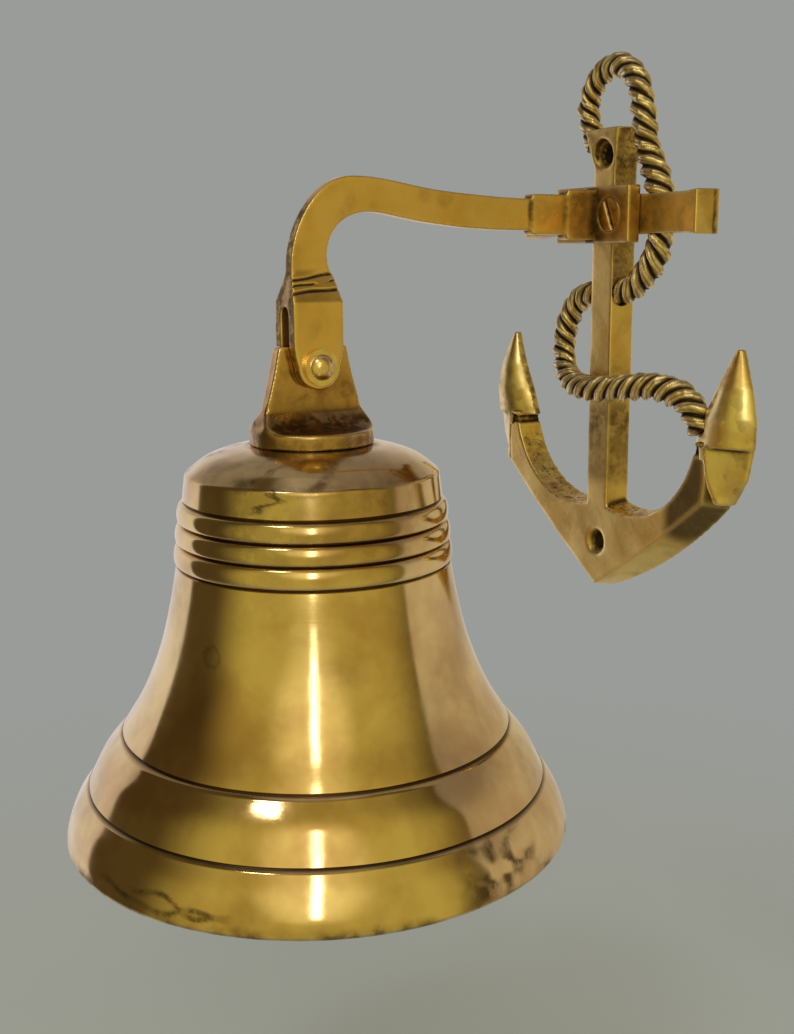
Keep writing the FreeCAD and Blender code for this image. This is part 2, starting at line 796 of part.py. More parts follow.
def make_eye_nut():
    """A hexagon nut on the stud with a flat eye below it for the clapper link."""
    body = new_body("eye_nut")
    seat = "Dimensions.crown_inside - Dimensions.crown_washer_thick"
    hexagon = new_sketch(body, "XY_Plane", "eye_nut_outline", z=seat)
    add_hexagon(hexagon, "eye_nut_flats")
    feature(body, "Pad", "eye_nut_pad", hexagon, "Dimensions.eye_nut_height", reverse=True)
    eye = new_sketch(body, "YZ_Plane", "eye_outline", y="Dimensions.eye_level")
    add_circle(eye, "eye_radius")
    feature(body, "Pad", "eye_pad", eye, "Dimensions.eye_thick", symmetric=True)
    thread = new_sketch(body, "XY_Plane", "eye_nut_thread", z=seat)
    add_circle(thread, "stud_radius")
    length = "Dimensions.crown_inside - Dimensions.crown_washer_thick - Dimensions.stud_end"
    feature(body, "Pocket", "eye_nut_thread_cut", thread, length)
    hole = new_sketch(body, "YZ_Plane", "eye_hole_outline", y="Dimensions.eye_level")
    add_circle(hole, "eye_hole")
    feature(body, "Pocket", "eye_hole_cut", hole, THROUGH, symmetric=True)
    place(body, y="-Dimensions.reach")
    return body


# ---------------------------------------------------------------- clapper

def make_link():
    """Two wire rings joined at right angles, so the clapper swings both ways."""
    rings = []
    turns = [("upper_ring", FreeCAD.Rotation(V(1, 0, 0), 90), "Dimensions.ring_radius"),
             ("lower_ring", FreeCAD.Rotation(V(0, 1, 0), 90), "3 * Dimensions.ring_radius")]
    for name, rotation, drop in turns:
        ring = doc.addObject("Part::Torus", name)
        ring.setExpression("Radius1", "Dimensions.ring_radius")
        ring.setExpression("Radius2", "Dimensions.ring_wire")
        ring.Placement = FreeCAD.Placement(V(0, 0, 0), rotation)
        place(ring, y="-Dimensions.reach", z=f"Dimensions.eye_level - {drop}")
        rings.append(ring)
    link = doc.addObject("Part::Fuse", "clapper_link")
    link.Label = "clapper_link"
    link.Base = rings[0]
    link.Tool = rings[1]
    return link


def make_clapper():
    """Eye, tapered rod, ball and tail, turned, with a flat eye at each end."""
    body = new_body("clapper")
    top = dim("eye_level") - 4 * dim("ring_radius")
    ball = dim("ball_level")
    radius = dim("ball_radius")
    tail = dim("tail_level")
    rod = 3.4
    meet = math.sqrt(radius ** 2 - rod ** 2)
    sketch = new_sketch(body, "XZ_Plane", "clapper_profile")
    add_outline(sketch, (0.0, tail + 4.0), [
        ("line", (2.2, tail + 4.0)),
        ("line", (rod, ball - meet)),
        ("arc", (radius, ball), (rod, ball + meet)),
        ("line", (2.4, top - 4.2)),
        ("line", (0.0, top - 4.2)),
    ])
    turned(body, "Revolution", "clapper_turned", sketch, "V_Axis")
    eyes = [("top_eye", "Dimensions.eye_level - 4 * Dimensions.ring_radius"),
            ("tail_eye", "Dimensions.tail_level")]
    for name, level in eyes:
        outline = new_sketch(body, "XZ_Plane", name, y=level)
        add_circle(outline, "eye_radius")
        feature(body, "Pad", f"{name}_pad", outline, "Dimensions.eye_thick", symmetric=True)
    for name, level in eyes:
        hole = new_sketch(body, "XZ_Plane", f"{name}_hole", y=level)
        add_circle(hole, "eye_hole")
        feature(body, "Pocket", f"{name}_hole_cut", hole, THROUGH, symmetric=True)
    place(body, y="-Dimensions.reach")
    return body


# ---------------------------------------------------------------- assembly

def build():
    rope = make_rope()
    anchor_blank = make_anchor_body()
    stock_blank = make_stock_body()
    palms = [make_palm("palm_right_blank", 1), make_palm("palm_left_blank", -1)]
    doc.recompute()
    pieces = [
        cut("anchor_casting", anchor_blank, [stock_blank, rope]),
        cut("stock_bar", stock_blank, [rope]),
        cut("palm_right", palms[0], [anchor_blank, rope]),
        cut("palm_left", palms[1], [anchor_blank]),
        rope,
        make_arm(),
        make_foot_screws(),
        make_pivot_bolt(),
        make_pivot_washers(),
        make_pivot_nut(),
        make_lug(),
        make_bell(),
        make_crown_washer(),
        make_eye_nut(),
        make_link(),
        make_clapper(),
    ]
    rope.Label = "rope_casting"
    doc.recompute()
    return pieces


def check(pieces):
    for item in doc.Objects:
        if "Invalid" in item.State or "Error" in item.State:
            raise RuntimeError(f"{item.Label} did not compute: {item.State}")
    for piece in pieces:
        shape = piece.Shape
        if shape.isNull() or not shape.isValid():
            raise RuntimeError(f"{piece.Label} has no valid shape")
        print(f"{piece.Label}: {len(shape.Solids)} solid(s), {shape.Volume / 1000:.2f} cm3")


pieces = build()
check(pieces)
os.makedirs("parts", exist_ok=True)
for piece in pieces:
    piece.Shape.exportStep(f"parts/{piece.Label}.step")
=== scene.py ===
import math
import bpy
import numpy as np
from mathutils import Matrix, Vector


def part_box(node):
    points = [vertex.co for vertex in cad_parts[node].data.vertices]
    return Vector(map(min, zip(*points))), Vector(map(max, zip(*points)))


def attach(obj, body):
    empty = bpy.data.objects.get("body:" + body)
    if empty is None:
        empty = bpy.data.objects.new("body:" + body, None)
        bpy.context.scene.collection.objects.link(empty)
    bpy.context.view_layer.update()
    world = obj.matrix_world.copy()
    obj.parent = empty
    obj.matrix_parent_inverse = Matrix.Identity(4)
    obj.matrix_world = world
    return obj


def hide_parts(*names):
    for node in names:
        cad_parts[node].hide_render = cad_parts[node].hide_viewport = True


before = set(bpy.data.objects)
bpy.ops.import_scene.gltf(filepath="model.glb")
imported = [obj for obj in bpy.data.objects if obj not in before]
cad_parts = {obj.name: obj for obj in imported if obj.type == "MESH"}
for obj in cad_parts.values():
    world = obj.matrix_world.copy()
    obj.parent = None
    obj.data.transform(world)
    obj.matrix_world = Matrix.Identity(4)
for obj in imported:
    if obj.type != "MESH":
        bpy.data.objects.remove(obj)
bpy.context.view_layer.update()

# Ship bell on an anchor wall bracket, +Z up, the wall at y = 0 and the bell standing out along -Y.
# Shapes are worked out in millimetres and written to Blender in metres.

MM = 0.001
bell_low, bell_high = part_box("bell_shell")
AXIS_Y = (bell_low[1] + bell_high[1]) / 2 / MM

# Level directions from the bell: towards the camera, and to the camera's right.
YAW = math.radians(60.13)
TOWARDS = np.array([math.sin(YAW), -math.cos(YAW), 0.0])
RIGHT = np.array([math.cos(YAW), math.sin(YAW), 0.0])


# ---------------------------------------------------------------- mesh helpers

def link(obj):
    bpy.context.scene.collection.objects.link(obj)
    return obj


def add_mesh(name, points, faces):
    """A mesh object from points in millimetres."""
    mesh = bpy.data.meshes.new(name)
    mesh.from_pydata((np.asarray(points) * MM).tolist(), [], faces)
    mesh.validate()
    return link(bpy.data.objects.new(name, mesh))


def smooth_faces(obj, angle=35.0):
    obj.data.shade_smooth()
    obj.data.set_sharp_from_angle(angle=math.radians(angle))


def read_points(mesh):
    flat = np.empty(len(mesh.vertices) * 3)
    mesh.vertices.foreach_get("co", flat)
    return flat.reshape(-1, 3) / MM


def write_points(mesh, points):
    mesh.vertices.foreach_set("co", (points * MM).ravel())
    mesh.update()


def read_normals(mesh):
    flat = np.empty(len(mesh.vertices) * 3)
    mesh.vertex_normals.foreach_get("vector", flat)
    return flat.reshape(-1, 3)


def read_edges(mesh):
    flat = np.empty(len(mesh.edges) * 2, dtype=np.int32)
    mesh.edges.foreach_get("vertices", flat)
    return flat.reshape(-1, 2)


def relaxed(points, edges, passes, weight=0.5):
    """Points moved towards the mean of their neighbours; weight may be one number per point."""
    points = points.copy()
    count = len(points)
    first, second = edges[:, 0], edges[:, 1]
    degree = np.maximum(np.bincount(edges.ravel(), minlength=count), 1)
    for _ in range(passes):
        mean = np.empty_like(points)
        for axis in range(3):
            total = np.bincount(first, weights=points[second, axis], minlength=count)
            total += np.bincount(second, weights=points[first, axis], minlength=count)
            mean[:, axis] = total / degree
        points += (mean - points) * np.reshape(weight, (-1, 1))
    return points


def add_value(obj, name, values):
    """One number per point, which the material reads by name."""
    attribute = obj.data.attributes.new(name, "FLOAT", "POINT")
    attribute.data.foreach_set("value", np.clip(values, 0.0, 1.0).astype(np.float32))


def cloud(points, size, seed):
    """Smooth random lumps about size millimetres across, with mean 0 and spread 1."""
    rng = np.random.default_rng(seed)
    waves = rng.normal(size=(3, 32)) * (2.2 / size)
    phases = rng.uniform(0.0, 2 * math.pi, 32)
    return np.sin(points @ waves + phases).sum(axis=1) / 4.0


def step(values, low, high):
    """0 below low and 1 above high, smooth between; low may be the larger."""
    t = np.clip((values - low) / (high - low), 0.0, 1.0)
    return t * t * (3 - 2 * t)


def ring_faces(rings, around, close_rings=False):
    """Quads between rings of points, each ring closed on itself."""
    faces = []
    last = rings if close_rings else rings - 1
    for i in range(last):
        a = i * around
        b = (i + 1) % rings * around
        for j in range(around):
            k = (j + 1) % around
            faces.append((a + j, a + k, b + k, b + j))
    return faces


def smooth_line(points, spacing):
    """A smooth line through the points, with new points about spacing apart."""
    points = [np.array(p, dtype=float) for p in points]
    if len(points) == 2:
        count = max(1, int(np.linalg.norm(points[1] - points[0]) / spacing))
        return [points[0] + (points[1] - points[0]) * i / count for i in range(count + 1)]
    ends = [2 * points[0] - points[1]] + points + [2 * points[-1] - points[-2]]
    line = [points[0]]
    for p0, p1, p2, p3 in zip(ends, ends[1:], ends[2:], ends[3:]):
        knots = [0.0]
        for a, b in ((p0, p1), (p1, p2), (p2, p3)):
            knots.append(knots[-1] + math.sqrt(np.linalg.norm(b - a)))
        t0, t1, t2, t3 = knots
        count = max(1, int(np.linalg.norm(p2 - p1) / spacing))
        for i in range(1, count + 1):
            t = t1 + (t2 - t1) * i / count
            a1 = (t1 - t) / (t1 - t0) * p0 + (t - t0) / (t1 - t0) * p1
            a2 = (t2 - t) / (t2 - t1) * p1 + (t - t1) / (t2 - t1) * p2
            a3 = (t3 - t) / (t3 - t2) * p2 + (t - t2) / (t3 - t2) * p3
            b1 = (t2 - t) / (t2 - t0) * a1 + (t - t0) / (t2 - t0) * a2
            b2 = (t3 - t) / (t3 - t1) * a2 + (t - t1) / (t3 - t1) * a3
            line.append((t2 - t) / (t2 - t1) * b1 + (t - t1) / (t2 - t1) * b2)
    return line


def finish_piece(obj, body, slot, material, *nodes):
    obj.data.materials.clear()
    obj.data.materials.append(material)
    if nodes:
        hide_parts(*nodes)
    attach(obj, body)


def remeshed(obj, voxel):
    """The object's mesh as an even net of quads."""
    weld = obj.modifiers.new("weld", "WELD")
    weld.merge_threshold = 1e-5
    net = obj.modifiers.new("net", "REMESH")
    net.mode = "VOXEL"
    net.voxel_size = voxel * MM
    graph = bpy.context.evaluated_depsgraph_get()
    mesh = bpy.data.meshes.new_from_object(obj.evaluated_get(graph))
    obj.modifiers.clear()
    obj.data = mesh
    return obj


def recast(node, voxel, passes):
    """A CAD node's shape with rounded edges, as on a polished casting."""
    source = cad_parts[node]
    obj = link(bpy.data.objects.new(f"{node}_cast", source.data.copy()))
    remeshed(obj, voxel)
    mesh = obj.data
    write_points(mesh, relaxed(read_points(mesh), read_edges(mesh), passes))
    return obj


def weather(obj, reach=14, scale=0.10, dark=0.0):
    """Marks worn edges and hollows from how far each point stands out of its surroundings; dark is a floor
    for the hollow value, through which some parts pass painted shade.
    """
    mesh = obj.data
    points = read_points(mesh)
    out = ((points - relaxed(points, read_edges(mesh), reach)) * read_normals(mesh)).sum(axis=1)
    add_value(obj, "wear", out / scale)
    add_value(obj, "hollow", np.maximum(-out / scale, dark))


# ---------------------------------------------------------------- materials

class Nodes:
    """Short names for making and joining the nodes of one material."""

    def __init__(self, name):
        self.material = bpy.data.materials.new(name)
        self.material.use_nodes = True
        self.tree = self.material.node_tree
        self.shader = self.tree.nodes["Principled BSDF"]
        self.coord = self.tree.nodes.new("ShaderNodeTexCoord").outputs["Object"]

    def set(self, socket, value):
        if isinstance(value, bpy.types.NodeSocket):
            self.tree.links.new(value, socket)
        else:
            socket.default_value = value

    def noise(self, scale, detail=3.0, rough=0.55, stretch=None):
        node = self.tree.nodes.new("ShaderNodeTexNoise")
        node.inputs["Scale"].default_value = scale
        node.inputs["Detail"].default_value = detail
        node.inputs["Roughness"].default_value = rough
        place = self.coord
        if stretch:
            mapping = self.tree.nodes.new("ShaderNodeMapping")
            mapping.inputs["Scale"].default_value = stretch
            self.set(mapping.inputs["Vector"], place)
            place = mapping.outputs["Vector"]
        self.set(node.inputs["Vector"], place)
        return node.outputs["Fac"]

    def value(self, name):
        node = self.tree.nodes.new("ShaderNodeAttribute")
        node.attribute_name = name
        return node.outputs["Fac"]

    def math(self, operation, a, b):
        node = self.tree.nodes.new("ShaderNodeMath")
        node.operation = operation
        node.use_clamp = operation == "ADD"
        self.set(node.inputs[0], a)
        self.set(node.inputs[1], b)
        return node.outputs[0]

    def ramp(self, value, low, high, to_low=0.0, to_high=1.0):
        node = self.tree.nodes.new("ShaderNodeMapRange")
        node.interpolation_type = "SMOOTHSTEP"
        for name, number in (("From Min", low), ("From Max", high), ("To Min", to_low), ("To Max", to_high)):
            node.inputs[name].default_value = number
        self.set(node.inputs["Value"], value)
        return node.outputs["Result"]

    def mix(self, factor, a, b):
        node = self.tree.nodes.new("ShaderNodeMix")
        node.data_type = "RGBA"
        self.set(node.inputs[0], factor)
        for socket, colour in ((node.inputs[6], a), (node.inputs[7], b)):
            self.set(socket, colour if isinstance(colour, bpy.types.NodeSocket) else (*colour, 1.0))
        return node.outputs[2]

    def bump(self, height, strength, distance):
        node = self.tree.nodes.new("ShaderNodeBump")
        node.inputs["Strength"].default_value = strength
        node.inputs["Distance"].default_value = distance
        self.set(node.inputs["Height"], height)
        self.set(self.shader.inputs["Normal"], node.outputs["Normal"])


# The colour of tarnished patches, hollows and painted shade, and of rubbed edges.
DARK = (0.050, 0.026, 0.010)
RUBBED = (0.90, 0.68, 0.30)


def brass(name, base, warm, rough, cloud_scale=45.0, grain=900.0, grain_height=0.00003, spun=False,
          tarnish_and_shade=0.9, hollow=0.9, wear=0.45):
    """Old brass: clouds of a warmer colour, dark tarnished patches and hollows, which also carry painted
    shade, rubbed edges, a fine grain.
    """
    n = Nodes(name)
    n.shader.inputs["Metallic"].default_value = 1.0
    clouds = n.ramp(n.noise(cloud_scale, 4.0, 0.6), 0.38, 0.66)
    colour = n.mix(clouds, base, warm)
    spots = n.ramp(n.noise(cloud_scale * 5, 4.0, 0.65), 0.35, 0.62)
    broken = n.math("MULTIPLY", n.value("tarnish_and_shade"), n.ramp(spots, 0.0, 1.0, 0.45, 1.0))
    dirt_and_shade = n.math("MULTIPLY", broken, tarnish_and_shade)
    colour = n.mix(dirt_and_shade, colour, DARK)
    sunk = n.math("MULTIPLY", n.value("hollow"), hollow)
    colour = n.mix(sunk, colour, DARK)
    rubbed = n.math("MULTIPLY", n.value("wear"), wear)
    colour = n.mix(rubbed, colour, RUBBED)
    n.set(n.shader.inputs["Base Color"], colour)

    fine = n.noise(grain * 0.35, 3.0, 0.6)
    roughness = n.ramp(n.noise(cloud_scale * 2.2, 5.0, 0.7), 0.3, 0.7, rough[0], rough[1])
    roughness = n.math("ADD", roughness, n.math("MULTIPLY", dirt_and_shade, 0.28))
    roughness = n.math("ADD", roughness, n.math("MULTIPLY", sunk, 0.25))
    n.set(n.shader.inputs["Roughness"], roughness)
    height = fine
    if spun:
        lines = n.noise(60.0, 2.0, 0.5, (0.35, 0.35, 26.0))
        height = n.math("ADD", n.math("MULTIPLY", fine, 0.35), n.math("MULTIPLY", lines, 0.65))
    n.bump(height, 1.0, grain_height)
    return n.material


BELL = brass("bell_brass", (0.86, 0.65, 0.31), (0.64, 0.42, 0.19), (0.075, 0.15), 30.0, 1400.0, 0.000008,
             spun=True, tarnish_and_shade=0.85, hollow=0.95, wear=0.25)
LUG = brass("lug_brass", (0.62, 0.38, 0.16), (0.46, 0.25, 0.10), (0.12, 0.24), 60.0, grain_height=0.000015)
ARM = brass("arm_brass", (0.87, 0.57, 0.22), (0.77, 0.48, 0.16), (0.20, 0.32), 50.0, grain_height=0.000012)
ANCHOR = brass("anchor_brass", (0.95, 0.68, 0.23), (0.80, 0.51, 0.14), (0.28, 0.42), 55.0,
               grain_height=0.00002)
PALM = brass("palm_brass", (0.92, 0.74, 0.33), (0.70, 0.48, 0.17), (0.25, 0.38), 60.0, grain_height=0.000012)
ROPE = brass("rope_brass", (0.94, 0.78, 0.48), (0.76, 0.59, 0.32), (0.26, 0.42), 90.0, grain_height=0.00003,
             hollow=1.0, wear=0.8)
HARDWARE = brass("hardware_brass", (0.92, 0.73, 0.38), (0.74, 0.50, 0.22), (0.18, 0.32), 120.0)
SCREW = brass("screw_brass", (0.56, 0.35, 0.15), (0.40, 0.22, 0.09), (0.24, 0.40), 160.0)
CLAPPER = brass("clapper_brass", (0.60, 0.42, 0.18), (0.46, 0.30, 0.11), (0.30, 0.45), 60.0)


# ---------------------------------------------------------------- bell

def bell_profile():
    """(radius, level, hollow) all round the shell's section, grooves marked as hollow."""
    line = []

    def run(points, spacing=0.9, hollow=0.0):
        for radius, level in smooth_line(points, spacing):
            if not line or abs(radius - line[-1][0]) + abs(level - line[-1][1]) > 1e-6:
                line.append((radius, level, hollow))

    run([(4.2, -26.0), (4.2, -21.5)])
    run([(17.2, -21.5), (24.0, -22.6), (31.6, -25.3), (36.7, -29.1)], 0.45)
    run([(36.98, -29.36), (37.2, -29.62), (37.36, -29.95), (37.46, -30.4)], 0.3)
    run([(37.5, -30.9), (38.25, -36.9)], 0.4)
    # Three round beads, each below a cut groove: top, bottom, radius at each and at the crest.
    beads = [
        (-37.5, -43.6, 38.3, 39.4, 39.95),
        (-43.6, -49.6, 39.0, 40.1, 40.65),
        (-49.6, -56.0, 39.7, 40.6, 41.25),
    ]
    for top, bottom, root, foot, crest in beads:
        line.append((root - 0.50, top + 0.10, 1.0))
        line.append((root - 0.50, top - 0.12, 1.0))
        half = (top - bottom) / 2 - 0.42
        for i in range(17):
            angle = math.pi * i / 16
            radius = root + (foot - root) * i / 16 + (crest - (root + foot) / 2) * math.sin(angle) ** 0.8
            line.append((radius, (top + bottom) / 2 + half * math.cos(angle), 0.0))
    line.append((40.1, -55.95, 1.0))
    line.append((40.1, -56.2, 1.0))
    run([(40.75, -56.6), (42.6, -66.6), (46.2, -81.0), (52.2, -95.6), (58.35, -105.8)], 1.0)
    line.append((58.1, -106.35, 1.0))
    line.append((58.25, -106.6, 1.0))
    run([(59.3, -106.95), (64.6, -113.4), (68.85, -121.5)], 0.9)
    line.append((68.55, -122.0, 1.0))
    line.append((68.75, -122.25, 1.0))
    run([(69.8, -122.6), (73.0, -127.6), (75.3, -133.2), (76.1, -136.6)], 0.45)
    run([(76.2, -137.0), (75.9, -137.8), (75.2, -138.25), (74.0, -138.4)], 0.3)
    run([(72.0, -138.4), (71.2, -138.3)], 0.5)
    run([(70.6, -137.6), (66.4, -129.6), (61.0, -120.6), (53.6, -107.6), (47.6, -95.4), (42.0, -81.0),
         (38.6, -66.6), (36.6, -54.0), (35.0, -40.0), (33.4, -32.4), (29.4, -28.2), (20.0, -26.0)], 1.6)
    return line


def make_bell():
    profile = bell_profile()
    around = 300
    angles = np.arange(around) * 2 * math.pi / around
    radius = np.array([p[0] for p in profile])
    level = np.array([p[1] for p in profile])
    points = np.empty((len(profile), around, 3))
    points[:, :, 0] = radius[:, None] * np.cos(angles)
    points[:, :, 1] = radius[:, None] * np.sin(angles)
    points[:, :, 2] = level[:, None]
    points = points.reshape(-1, 3)
    # Turned metal is never quite true: a few hundredths of a millimetre of waviness.
    outward = points * np.array([1.0, 1.0, 0.0])
    outward /= np.linalg.norm(outward, axis=1)[:, None]
    points += outward * (cloud(points, 34.0, 3) * 0.045 + cloud(points, 13.0, 4) * 0.012)[:, None]
    faces = ring_faces(len(profile), around, True)
    obj = add_mesh("bell_turned", points + np.array([0.0, AXIS_Y, 0.0]), faces)
    smooth_faces(obj, 40.0)

    side = np.degrees(np.arctan2(points @ RIGHT, points @ TOWARDS))
    z = points[:, 2]
    inside_rings = 60
    outer = np.repeat(np.arange(len(profile)) < len(profile) - inside_rings, around)
    hollow = np.repeat([p[2] for p in profile], around)
    tarnish_and_shade = 0.14 * step(cloud(points, 16.0, 8), 0.1, 1.4)
    streaky = cloud(points * np.array([1.0, 1.0, 0.35]), 5.5, 12)
    tarnish_and_shade += 0.20 * step(np.abs(side), 62.0, 84.0) * step(streaky, -0.2, 1.4)
    # Painted shade and a painted dark reflection round the flange; handling marks and stains on the rim, and
    # one small ring mark.
    span = np.linalg.norm(points[:, :2], axis=1)
    front = step(np.abs(side - 8.0), 62.0, 30.0)
    # Painted shade all round the foot of the flange, and at the front below it a painted dark reflection of
    # the lug and arm.
    tarnish_and_shade += 0.75 * step(span, 21.0, 18.0) * step(z, -24.0, -22.0)
    tarnish_and_shade += 0.55 * front * step(span, 33.0, 22.0) * step(z, -27.0, -25.5)
    curl = np.abs(side + 16.0 - 5.5 * np.sin(z * 0.75) - 2.0 * np.sin(z * 2.1))
    tarnish_and_shade += 0.7 * step(curl, 3.0, 1.2) * step(z, -36.5, -34.5) * step(z, -23.5, -25.0)
    tarnish_and_shade += 0.32 * front * step(z, -58.0, -44.0) * step(z, -24.0, -30.0)
    crown = step(z, -33.0, -27.0)
    tarnish_and_shade += 0.4 * crown * step(side, -25.0, -50.0) * step(streaky, -0.3, 1.2)
    tarnish_and_shade += 0.55 * crown * step(cloud(points, 7.0, 11), 0.9, 1.7) * step(np.abs(side), 60.0, 25.0)
    wander = 1.1 * np.sin(side * 0.24) + 0.4 * np.sin(side * 0.52 + 1.0)
    squiggle = step(np.abs(z + 134.2 - wander), 1.1, 0.35)
    second = step(np.abs(z + 132.8 + 1.6 * wander), 1.0, 0.3) * step(side, -40.0, -36.0)
    squiggle = np.maximum(squiggle, second)
    squiggle *= step(side, -50.0, -47.0) * step(side, -13.0, -16.0)
    tarnish_and_shade += 0.9 * squiggle
    patch = step(np.abs(side - 46.0), 15.0, 6.0) * step(np.abs(z + 129.5), 8.5, 5.0)
    streaks = cloud(points * np.array([1.0, 1.0, 0.45]) + 2.5 * np.sin(z / 2.6)[:, None], 4.6, 16)
    tarnish_and_shade += 1.05 * patch * step(streaks, -0.7, 0.9)
    rim = step(z, -134.2, -137.2)
    tarnish_and_shade += rim * (0.35 + 0.3 * cloud(points, 5.0, 17)) * (z < -133)
    mark = TOWARDS * math.cos(math.radians(-36.0)) + RIGHT * math.sin(math.radians(-36.0))
    centre = mark * 44.6 + np.array([0.0, 0.0, -75.5])
    away = np.linalg.norm(points - centre, axis=1)
    tarnish_and_shade += 0.70 * step(np.abs(away - 2.6), 0.75, 0.3)
    add_value(obj, "tarnish_and_shade", np.where(outer, tarnish_and_shade, 0.45 + 0.2 * cloud(points, 10.0, 18)))
    add_value(obj, "hollow", hollow)
    add_value(obj, "wear", np.zeros(len(points)))
    finish_piece(obj, "bell", "bell_brass", BELL, "bell_shell")


def make_lug():
    obj = recast("lug", 0.34, 4)
    mesh = obj.data
    points = read_points(mesh)
    edges = read_edges(mesh)
    foot = step(points[:, 2], -18.4, -16.6) * step(points[:, 2], -8.5, -11.0)
    points = relaxed(points, edges, 26, 0.5 * foot)
    points += read_normals(mesh) * (cloud(points, 9.0, 21) * 0.02)[:, None]
    write_points(mesh, points)
    smooth_faces(obj, 60.0)
    weather(obj, 16, 0.14)
    z = points[:, 2]
    span = np.hypot(points[:, 0], points[:, 1] - AXIS_Y)
    # Painted shade and a painted dark reflection at the lug's foot and over the flange's top.
    tarnish_and_shade = 0.95 * step(z, -12.0, -15.0) * step(z, -17.6, -17.0) * step(span, 17.6, 16.8)
    tarnish_and_shade += 0.25 * step(cloud(points, 5.0, 22), 0.4, 1.6)
    tarnish_and_shade += 0.15 * step(z, -18.6, -20.6) + 0.2 * step(z, -16.5, -17.5) + 0.25 * step(z, 4.0, -8.0)
    add_value(obj, "tarnish_and_shade", tarnish_and_shade)
    finish_piece(obj, "bell", "lug_brass", LUG, "lug")


# ---------------------------------------------------------------- bracket

def make_anchor():
    obj = recast("anchor_casting", 0.40, 6)
    mesh = obj.data
    points = read_points(mesh)
    normals = read_normals(mesh)
    x, z = points[:, 0], points[:, 2]
    shank = step(np.abs(x), 7.0, 5.6) * step(z, -46.0, -40.0)
    side = step(normals[:, 0], 0.5, 0.8)
    inner = step(normals[:, 2], 0.15, 0.6) * step(z, -26.0, -34.0)
    rough = np.clip(0.8 * inner + 0.7 * side * step(z, 16.0, 24.0) + 0.10, 0.0, 1.0)
    lumps = cloud(points, 1.3, 31) * 0.045 + cloud(points, 0.75, 32) * 0.03
    gentle = cloud(points, 9.0, 33) * 0.035
    neck = step(np.abs(x), 38.0, 41.0) * step(np.abs(z + 26.6), 1.9, 0.9)
    write_points(mesh, points + normals * (rough * lumps + gentle - 0.55 * neck)[:, None])
    smooth_faces(obj, 60.0)
    hole = np.minimum(np.hypot(x, z - 63.5), np.hypot(x, z + 63.5))
    # Painted shade: a dark patch below the right palm, where the palm shadows the arm, and the dark insides
    # of the screw holes; the shank is also darker low down and on its side.
    shade = 0.95 * step(x, 31.0, 37.0) * step(z, -63.0, -54.0)
    shade = np.maximum(shade, 0.30 * shank * step(z, -14.0, -24.0) * step(z, -58.0, -48.0))
    shade = np.maximum(shade, 0.45 * side * shank * step(z, 17.0, 24.0))
    weather(obj, 14, 0.10, np.maximum(shade, step(hole, 4.3, 3.0)))
    # The dark band in the neck under each palm's collar is painted shadow.
    tarnish_and_shade = 0.5 * inner * step(cloud(points, 2.2, 34), -0.6, 1.6) + 0.95 * neck
    tarnish_and_shade += 0.35 * side * shank * step(z, 17.0, 24.0)
    # Painted shade on the shank round and below where the rope crosses in front, and darker down the lower
    # shank.
    crossing = step(np.abs(z + 14.0), 16.0, 6.0) + step(z, -14.0, -22.0) * step(z, -58.0, -44.0)
    tarnish_and_shade += 0.34 * shank * crossing + 0.15 * shank * side * step(z, 0.0, -14.0)
    tarnish_and_shade += 0.42 * step(z, 57.0, 62.0) + 0.16 * step(cloud(points, 6.0, 35), 0.2, 1.6)
    add_value(obj, "tarnish_and_shade", tarnish_and_shade)
    finish_piece(obj, "bracket", "anchor_brass", ANCHOR, "anchor_casting")


def make_stock():
    obj = recast("stock_bar", 0.34, 5)
    mesh = obj.data
    points = read_points(mesh)
    write_points(mesh, points + read_normals(mesh) * (cloud(points, 10.0, 41) * 0.02)[:, None])
    smooth_faces(obj, 60.0)
    x, y = points[:, 0], points[:, 1]
    weather(obj, 12, 0.12, 0.42 * step(np.abs(x), 40.0, 24.0))
    tarnish_and_shade = 0.15 + 0.25 * step(np.abs(x), 34.0, 22.0) + 0.35 * step(cloud(points, 6.0, 42), -0.8, 1.5)
    tarnish_and_shade += 0.6 * step(np.abs(x), 42.0, 42.7) * step(np.abs(y + 1.8), 1.0, 0.4)
    add_value(obj, "tarnish_and_shade", tarnish_and_shade)
    finish_piece(obj, "bracket", "anchor_brass", ANCHOR, "stock_bar")


def make_palm(node):
    obj = recast(node, 0.34, 5)
    mesh = obj.data
    points = read_points(mesh)
    normals = read_normals(mesh)
    x, y, z = points.T
    # The side towards the shank was never filed and keeps the skin of the mould.
    skin = step(-np.sign(x) * normals[:, 0], 0.70, 0.92)
    lumps = skin * (cloud(points, 1.4, 53) * 0.05 + cloud(points, 0.8, 54) * 0.03)
    points = points + normals * (cloud(points, 7.0, 51) * 0.03 + lumps)[:, None]
    # The point of the barb is rubbed round.
    write_points(mesh, relaxed(points, read_edges(mesh), 20, 0.5 * step(z, -37.0, -41.0)))
    smooth_faces(obj, 60.0)
    weather(obj, 14, 0.14)
    tarnish_and_shade = 0.45 * step(np.abs(z + 25.0), 1.2, 0.4) + 0.35 * step(cloud(points, 3.0, 52), 0.5, 1.6)
    tarnish_and_shade += 0.5 * step(y, -3.4, -1.4) + 0.75 * skin * step(cloud(points, 2.4, 55), -1.2, 0.8)
    add_value(obj, "tarnish_and_shade", tarnish_and_shade)
    finish_piece(obj, "bracket", "palm_brass", PALM, node)


